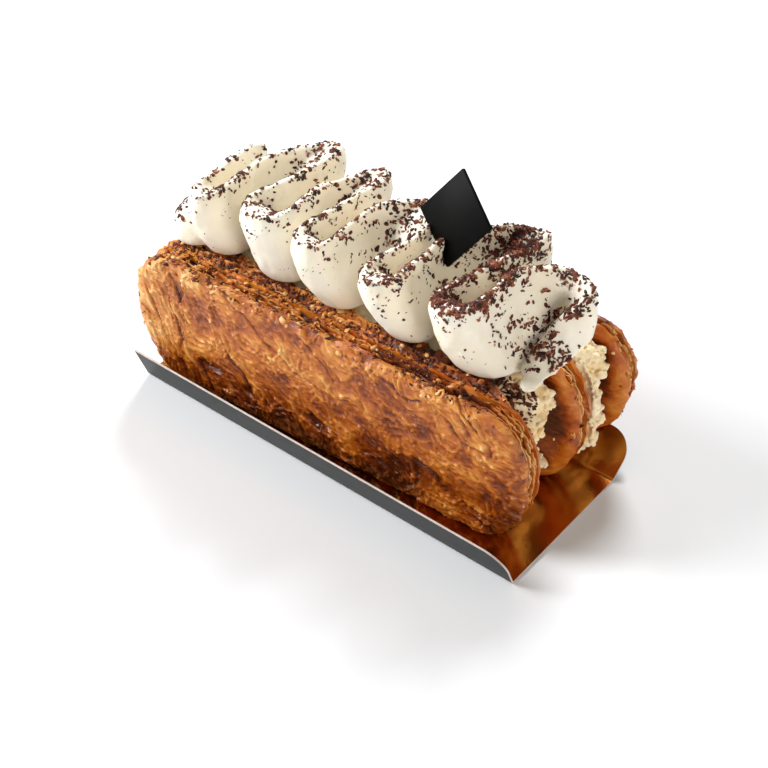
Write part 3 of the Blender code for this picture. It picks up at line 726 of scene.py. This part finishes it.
# where the strip at the ribbon's end parts from the last bowl
tailFold = [Vector(point) for point in (
    (0.0596, 0.0362, 0.0676), (0.0584, 0.0330, 0.0640), (0.0574, 0.0295, 0.0612), (0.0562, 0.0270, 0.0583),
    (0.0556, 0.0240, 0.0560), (0.0555, 0.0208, 0.0540), (0.0556, 0.0180, 0.0522),
)]


def fromFold(s, t, z):
    # the distance to the fold; far from it, a metre will do
    if s < 0.047:
        return 1.0
    here, best = Vector((s, t, z)), 1.0
    for a, b in zip(tailFold, tailFold[1:]):
        u = min(max((here - a).dot(b - a) / (b - a).length_squared, 0.0), 1.0)
        best = min(best, (here - a - (b - a) * u).length)
    return best


def makeRibbon():
    bm = softCopy("cream_ribbon", "creamRibbon", ribbon["voxel"], ribbon["soften"])
    for v in bm.verts:
        s, t, z = unplace(v.co)
        free = ease(z, 0.0497, 0.053)
        sway = bumps(s, t, z, 0.011, 3.3) * ribbon["sway"]
        sway += bumps(s, t, z * 0.5, 0.0032, 5.1) * ribbon["ripple"]
        v.co += v.normal * free * sway
        groove = math.exp(-(fromFold(s, t, z) / ribbon["foldWidth"]) ** 2) * free
        v.co += Vector(ribbon["foldInto"]) * ribbon["foldDepth"] * groove
    piece = toPiece(bm, "creamRibbon", (ribbonMaterial,), ("cream_ribbon",))
    print("ribbon is made,", len(piece.data.polygons), "faces")
    return piece


ribbonPiece = makeRibbon()


# the plaque

plaque = {
    "side": 0.0200, "thickness": 0.0012, "foot": (0.0258, 0.0274, 0.0694), "turn": 18.6, "lean": 26.4,
    "tilt": 18.7, "edge": 0.00022,
}


def plaqueMatrix():
    turn, lean = math.radians(plaque["turn"] - pastry["turn"]), math.radians(plaque["lean"])
    c, n = math.cos(turn), math.sin(turn)
    right = Vector((c, -n, 0))
    facing = Vector((-n * math.cos(lean), -c * math.cos(lean), math.sin(lean)))
    up = right.cross(-facing)
    tilt = Matrix.Rotation(-math.radians(plaque["tilt"]), 3, "Y")
    turned = Matrix((right, -facing, up)).transposed() @ tilt
    return Matrix.Translation(place(*plaque["foot"])) @ turned.to_4x4()


def makePlaque():
    bm = bmesh.new()
    bmesh.ops.create_cube(bm, size=1)
    bmesh.ops.scale(bm, vec=(plaque["side"], plaque["thickness"], plaque["side"]), verts=bm.verts)
    bmesh.ops.bevel(bm, geom=bm.edges[:], offset=plaque["edge"], segments=3, profile=0.5, affect="EDGES",
                    material=-1)
    bmesh.ops.rotate(bm, matrix=Matrix.Rotation(math.radians(45), 3, "Y"), cent=(0, 0, 0), verts=bm.verts)
    bmesh.ops.translate(bm, vec=(0, 0, plaque["side"] / math.sqrt(2)), verts=bm.verts)
    bmesh.ops.transform(bm, matrix=plaqueMatrix(), verts=bm.verts)
    return toPiece(bm, "chocolatePlaque", (plaqueMaterial,), ("plaque",), sharp=40)


makePlaque()
print("plaque is made")


# chocolate shavings and loose bits of pastry

# how many lie where, and how long they are; each kind's width, curl and tone are drawn between two values
shavings = {
    "onTops": 5700, "onSides": 480, "onWalls": 700, "onPastry": 1700, "onFilling": 320, "kinds": 8,
    "dots": {"wide": (0.50, 0.95), "thick": 0.16, "curl": (-0.3, 0.4), "light": (-1.2, 0.3)},
    "curls": {"wide": (0.34, 0.66), "thick": 0.13, "curl": (-0.4, 0.7), "light": (-0.6, 1.3)},
    "leftSize": (0.0004, 0.00125), "rightSize": (0.00045, 0.0015), "sideSize": (0.00025, 0.0006),
    "wallSize": (0.0004, 0.0011), "pastrySize": (0.0004, 0.0010), "fillingSize": (0.0006, 0.0015),
}
bits = {
    "onTop": 900, "onEnds": 240, "kinds": 9,
    "flakes": {"wide": (0.35, 0.70), "thick": 0.07, "curl": (-0.7, 0.9), "light": (-1.1, 1.3)},
    "topSize": (0.0006, 0.0021), "endSize": (0.0005, 0.0016),
}
# how far off a bit starts, how much it turns back to where it came from, and how far it stands out
falling = {"reach": 0.05, "turnBack": 0.6, "rise": 0.12}
down = Vector((0, 0, -1))


def curledBit(draw, wide, thick, curl, light):
    # a thin strip bent round its length: a few faces, repeated often
    bm = bmesh.new()
    tone = bm.verts.layers.float.new("relief")
    bmesh.ops.create_cube(bm, size=1)
    lengthwise = [e for e in bm.edges if abs(e.verts[0].co.x - e.verts[1].co.x) > 0.5]
    bmesh.ops.subdivide_edges(bm, edges=lengthwise, cuts=1)
    for v in bm.verts:
        taper = 1 - 0.5 * abs(v.co.x * 2) * draw.uniform(0.6, 1.2)
        v.co.y = v.co.y * taper + draw.uniform(-0.12, 0.12)
        v.co.z = v.co.z * thick + curl * (v.co.x ** 2 - 0.12)
        v.co.y *= wide
        v[tone] = light
    mesh = bpy.data.meshes.new("bit")
    bmesh.ops.recalc_face_normals(bm, faces=bm.faces)
    bm.to_mesh(mesh)
    bm.free()
    return mesh


def drawKinds(draw, count, wide, thick, curl, light):
    return [curledBit(draw, draw.uniform(*wide), thick, draw.uniform(*curl), draw.uniform(*light))
            for _ in range(count)]


def facesByArea(piece, weigh, draw, count):
    # faces drawn by area times a weight that says how thickly they are strewn
    polygons = piece.data.polygons
    weights = [f.area * weigh(f) for f in polygons]
    return [polygons[i] for i in draw.choices(range(len(polygons)), weights=weights, k=count)]


def lay(bm, spot, normal, kinds, draw, sizes, rise, tiltBy, spin=math.pi):
    # one bit, tilted and spun at random; about one in eight is half as long again
    kind = draw.choice(kinds)
    size = draw.uniform(*sizes) * (1.5 if draw.random() < 0.12 else 1.0)
    up = (normal + Vector([draw.gauss(0, tiltBy) for _ in range(3)])).normalized()
    turned = up.to_track_quat("Z", "Y").to_matrix() @ Matrix.Rotation(draw.uniform(-spin, spin), 3, "Z")
    matrix = Matrix.Translation(spot + normal * size * rise) @ turned.to_4x4() @ Matrix.Scale(size, 4)
    kind.transform(matrix)
    bm.from_mesh(kind)
    kind.transform(matrix.inverted())


def strew(bm, faces, kinds, draw, sizes, rise, tiltBy):
    for f in faces:
        lay(bm, f.center, f.normal, kinds, draw, sizes, rise, tiltBy)


def dropOn(bm, piece, starts, along, kinds, draw, sizes, tiltBy, spin=math.pi):
    # laid where what falls along a direction first meets the piece; starts draws its spots one by one
    for start in starts:
        isHit, spot, normal, _ = piece.ray_cast(start - along * falling["reach"], along)
        if isHit:
            facing = (normal - along * falling["turnBack"]).normalized()
            lay(bm, spot, facing, kinds, draw, sizes, falling["rise"], tiltBy, spin)


def topWeight(f):
    # thick on the folds' tops, thickest beside the plaque, and down the tail
    s, t, z = unplace(f.center)
    if f.normal.z < 0.2 or z < 0.0525:
        return 0.0
    flat = ease(f.normal.z, 0.18, 0.58)
    onPlaqueFold = 3.7 * ease(s, 0.020, 0.026) * (1 - ease(s, 0.046, 0.050))
    thick = (1.5 + 0.4 * ease(s, -0.02, 0.02) + onPlaqueFold) * flat
    clump = 0.45 + 1.1 * ease(bumps(s, t, z, 0.0045, 2.2), -0.25, 0.4)
    nearFold = 1.1 * math.exp(-(fromFold(s, t, z) / 0.0035) ** 2)
    onTail = 0.9 * ease(s, 0.056, 0.060) * (1 - ease(z, 0.074, 0.079))
    return clump * (thick * (1.0 if z > 0.068 else 0.6) + nearFold + onTail)


def sideWeight(f):
    # thin over the bowls' sides
    s, t, z = unplace(f.center)
    if z < 0.0515 or f.normal.z > 0.5:
        return 0.0
    return 0.15 + ease(bumps(s, t, z, 0.007, 8.8), 0.0, 0.5) * (1 + 1.5 * ease(z, 0.062, 0.074))


def wallWeight(f):
    # thicker high on the walls of the folds to the right
    s, t, z = unplace(f.center)
    if z < 0.054 or f.normal.z > 0.5 or f.normal.z < -0.3:
        return 0.0
    near = ease(s, -0.050, 0.030) * (1 + ease(s, 0.015, 0.030) * (1 - ease(s, 0.046, 0.052)))
    return near * ease(z, 0.058, 0.074) * ease(bumps(s, t, z, 0.006, 5.1), -0.1, 0.4)


def onBand(draw):
    # a spot over the flaky top of the front slab, oftener beside the cream
    while True:
        s, t = draw.uniform(-0.062, 0.056), 0.0012 + 0.0150 * draw.random() ** 0.7
        if bumps(s, t, 0, 0.006, 7.7) > draw.uniform(-0.5, 0.25):
            return place(s, t, pastry["top"])


def anywhereOnTop(draw):
    return place(0.060 - 0.124 * draw.random() ** 0.6, 0.0004 + 0.0170 * draw.random(), pastry["top"])


def byTheTail(draw):
    return place(draw.uniform(0.050, 0.0625), draw.uniform(0.0110, 0.0200), pastry["top"])


def overEnd(draw, side, look):
    return place(side * 0.070, draw.uniform(look["front"], look["back"]), draw.uniform(0.003, 0.048))


def toStrewnPiece(bm, kinds, name, material):
    for kind in kinds:
        bpy.data.meshes.remove(kind)
    return toPiece(bm, name, (material,))


def makeShavings():
    # small dots towards the left end, longer curls towards the right one
    draw = random.Random(21)
    dots = drawKinds(draw, shavings["kinds"], **shavings["dots"])
    curls = drawKinds(draw, shavings["kinds"], **shavings["curls"])
    kinds = dots + curls
    bm = bmesh.new()
    tops = facesByArea(ribbonPiece, topWeight, draw, shavings["onTops"])
    onLeft = [f for f in tops if unplace(f.center)[0] + draw.gauss(0, 0.004) < 0.018]
    left = set(onLeft)
    onRight = [f for f in tops if f not in left]
    strew(bm, onLeft, dots + curls[:3], draw, shavings["leftSize"], rise=0.08, tiltBy=0.22)
    strew(bm, onRight, curls + dots[:2], draw, shavings["rightSize"], rise=0.08, tiltBy=0.22)
    sides = facesByArea(ribbonPiece, sideWeight, draw, shavings["onSides"])
    strew(bm, sides, kinds, draw, shavings["sideSize"], rise=0.05, tiltBy=0.1)
    walls = facesByArea(ribbonPiece, wallWeight, draw, shavings["onWalls"])
    strew(bm, walls, kinds, draw, shavings["wallSize"], rise=0.05, tiltBy=0.1)
    starts = (onBand(draw) for _ in range(shavings["onPastry"]))
    dropOn(bm, slabPieces[0], starts, down, kinds, draw, shavings["pastrySize"], tiltBy=0.3)
    starts = (byTheTail(draw) for _ in range(shavings["onFilling"]))
    dropOn(bm, fillingPieces[0], starts, down, kinds, draw, shavings["fillingSize"], tiltBy=0.2)
    return toStrewnPiece(bm, kinds, "chocolateShavings", shavingMaterial)


def makeBits():
    # broken pastry on the front slab's top and at the slabs' ends
    draw = random.Random(5)
    kinds = drawKinds(draw, bits["kinds"], **bits["flakes"])
    bm = bmesh.new()
    starts = (anywhereOnTop(draw) for _ in range(bits["onTop"]))
    dropOn(bm, slabPieces[0], starts, down, kinds, draw, bits["topSize"], tiltBy=0.40, spin=0.7)
    for piece, look in zip(slabPieces, slabs.values()):
        for side in (-1, 1):
            starts = (overEnd(draw, side, look) for _ in range(bits["onEnds"] // 6))
            dropOn(bm, piece, starts, Vector((-side, 0, 0)), kinds, draw, bits["endSize"], tiltBy=0.6)
    return toStrewnPiece(bm, kinds, "pastryBits", sheetMaterial)


def crumbWeight(f):
    s, t, z = unplace(f.center)
    return ease(abs(s), 0.050, 0.058) * (0.3 + abs(f.normal.x)) * ease(z, 0.004, 0.008)


def makeFillingCrumbs():
    # crumbs of filling stuck to its torn ends
    draw = random.Random(12)
    kinds = []
    for _ in range(crumbly["kinds"]):
        bm = bmesh.new()
        bmesh.ops.create_icosphere(bm, subdivisions=2, radius=0.5)
        for v in bm.verts:
            v.co *= 1 + draw.uniform(-0.10, 0.10)
        kind = bpy.data.meshes.new("crumb")
        bm.to_mesh(kind)
        bm.free()
        kinds.append(kind)
    bm = bmesh.new()
    for piece in fillingPieces:
        faces = facesByArea(piece, crumbWeight, draw, crumbly["loose"])
        strew(bm, faces, kinds, draw, crumbly["size"], rise=0.0, tiltBy=0.5)
    return toStrewnPiece(bm, kinds, "fillingCrumbs", fillingMaterial)


strewnPieces = (makeShavings(), makeBits(), makeFillingCrumbs())
print("shavings, bits and crumbs are strewn,", sum(len(p.data.polygons) for p in strewnPieces), "faces")


# camera, light and floor

view = {
    "azimuth": 38.2, "elevation": 43.96, "distance": 0.685, "target": (-0.0094, 0.0162, 0.0),
    "lens": 103.1, "sensor": 36, "lightsAim": (0, 0, 0.03),
}
softboxes = {
    "rearKey": {"spot": (-0.30, 0.66, 0.79), "size": 0.34, "power": 9.4, "color": (1, 1, 1)},
    "leftFill": {"spot": (-0.80, -0.45, 0.65), "size": 0.50, "power": 12.4, "color": (1, 1, 1)},
    "lowGlint": {"spot": (-1.00, -0.55, 0.26), "size": 0.30, "power": 3.9, "color": (1, 1, 1)},
    "rightFill": {"spot": (0.98, -0.30, 0.27), "size": 0.50, "power": 4.1, "color": (1.0, 0.92, 0.83)},
}


def addCamera():
    data = bpy.data.cameras.new("camera")
    data.lens, data.sensor_width = view["lens"], view["sensor"]
    data.clip_start, data.clip_end = 0.05, 20
    camera = bpy.data.objects.new("camera", data)
    a, e = math.radians(view["azimuth"]), math.radians(view["elevation"])
    back = Vector((math.sin(a) * math.cos(e), -math.cos(a) * math.cos(e), math.sin(e)))
    camera.location = Vector(view["target"]) + back * view["distance"]
    camera.rotation_euler = back.to_track_quat("Z", "Y").to_euler()
    bpy.context.scene.collection.objects.link(camera)
    bpy.context.scene.camera = camera


def addSoftbox(name, spot, size, power, color):
    data = bpy.data.lights.new(name, "AREA")
    data.shape, data.size, data.energy, data.color = "DISK", size, power, color
    lamp = bpy.data.objects.new(name, data)
    lamp.location = spot
    back = Vector(spot) - Vector(view["lightsAim"])
    lamp.rotation_euler = back.to_track_quat("Z", "Y").to_euler()
    bpy.context.scene.collection.objects.link(lamp)


def addFloor():
    bm = bmesh.new()
    bmesh.ops.create_grid(bm, x_segments=1, y_segments=1, size=4)
    bmesh.ops.translate(bm, vec=(0, 0, -0.0001), verts=bm.verts)
    mesh = bpy.data.meshes.new("floor")
    bm.to_mesh(mesh)
    bm.free()
    material = newMaterial("paleFloor", **{
        "Base Color": (0.80, 0.82, 0.85, 1), "Roughness": 0.7,
        "Emission Color": (1, 1, 1, 1), "Emission Strength": 0.045})[0]
    mesh.materials.append(material)
    floor = bpy.data.objects.new("floor", mesh)
    bpy.context.scene.collection.objects.link(floor)


def addWorld():
    world = bpy.data.worlds.new("paleRoom")
    world.use_nodes = True
    background = world.node_tree.nodes["Background"]
    background.inputs["Color"].default_value = (1, 0.95, 0.87, 1)
    background.inputs["Strength"].default_value = 0.23
    bpy.context.scene.world = world


addCamera()
addFloor()
addWorld()
for name, look in softboxes.items():
    addSoftbox(name, **look)
bpy.context.scene.view_settings.view_transform = "Standard"
